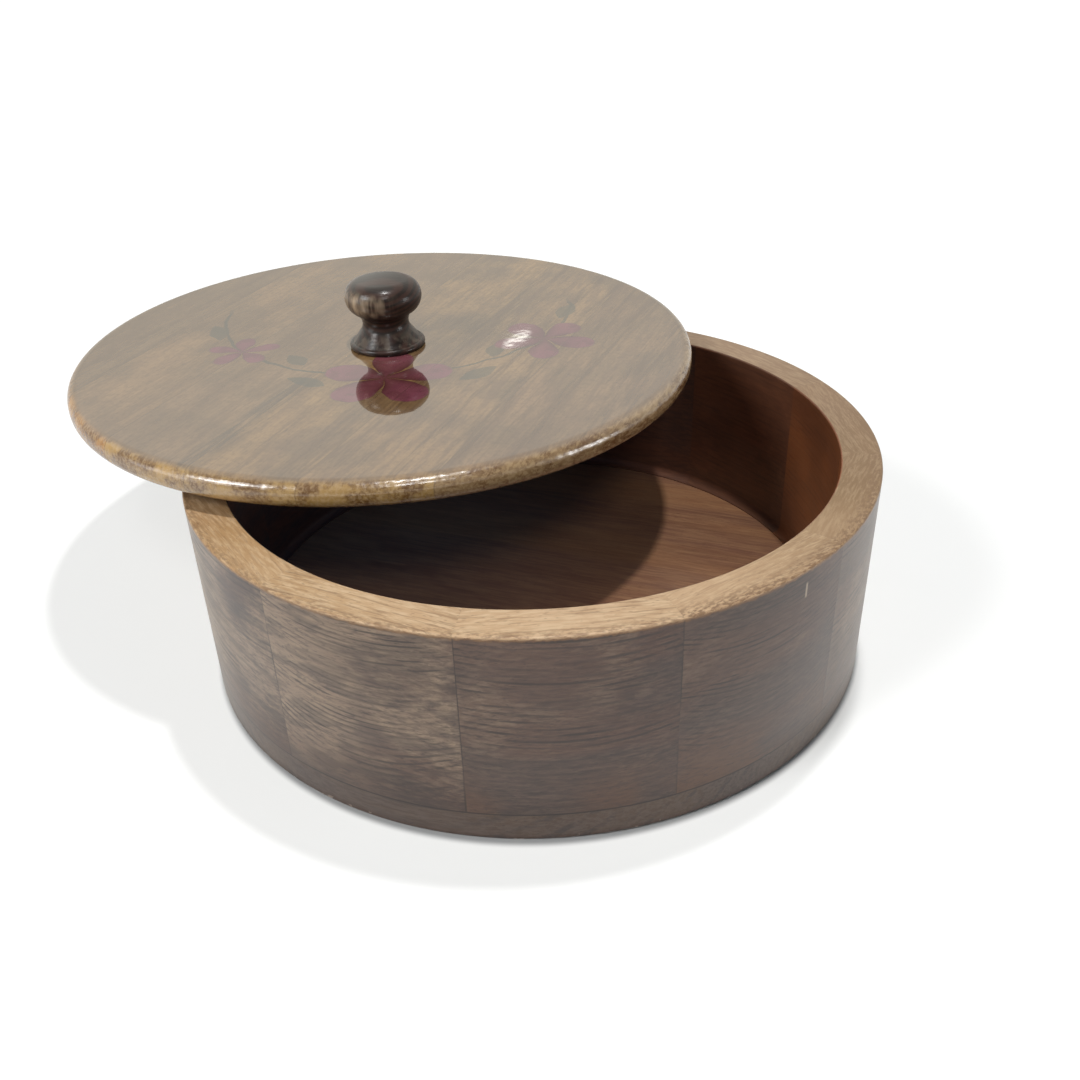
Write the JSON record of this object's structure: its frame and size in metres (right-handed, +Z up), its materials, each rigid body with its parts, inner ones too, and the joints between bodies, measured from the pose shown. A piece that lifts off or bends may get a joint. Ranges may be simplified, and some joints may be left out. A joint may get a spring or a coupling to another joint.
{
  "type": "round lidded box",
  "caption": "Low round wooden box with a straight wall of glued upright boards on a flat base, and a loose flat stepped lid with a turned knob, lying half open on the rim.",
  "frame": {"origin": "centre of the base's underside, on the axis of the ring", "axes": "+Z up along the axis of the ring, -Y towards the viewer of the picture, +X to the viewer's right; the loose lid lies pushed towards -X and +Y"},
  "size_m": [0.2467, 0.2513, 0.0961],
  "materials": {
    "stained_wall_wood": "dark stained, satin",
    "stained_base_wood": "dark stained, satin",
    "lacquered_lid_wood": "clear high gloss lacquer over a painted pattern",
    "dark_knob_wood": "dark stained, semi-gloss",
    "screw_steel": "zinc plated"
  },
  "bodies": {
    "box": {"stave_01": "stained_wall_wood", "stave_02": "stained_wall_wood", "stave_03": "stained_wall_wood", "stave_04": "stained_wall_wood", "stave_05": "stained_wall_wood", "stave_06": "stained_wall_wood", "stave_07": "stained_wall_wood", "stave_08": "stained_wall_wood", "stave_09": "stained_wall_wood", "stave_10": "stained_wall_wood", "stave_11": "stained_wall_wood", "stave_12": "stained_wall_wood", "base_disc": "stained_base_wood"},
    "lid": {"lid_board_1": "lacquered_lid_wood", "lid_board_2": "lacquered_lid_wood", "lid_board_3": "lacquered_lid_wood", "lid_board_4": "lacquered_lid_wood", "lid_board_5": "lacquered_lid_wood", "lid_board_6": "lacquered_lid_wood", "knob": "dark_knob_wood", "knob_screw": "screw_steel"}
  },
  "joints": [
    {"name": "lid_lift", "type": "slide", "parent": "box", "child": "lid", "axis": [0, 0, 1], "range_m": [0, 0.1]}
  ]
}
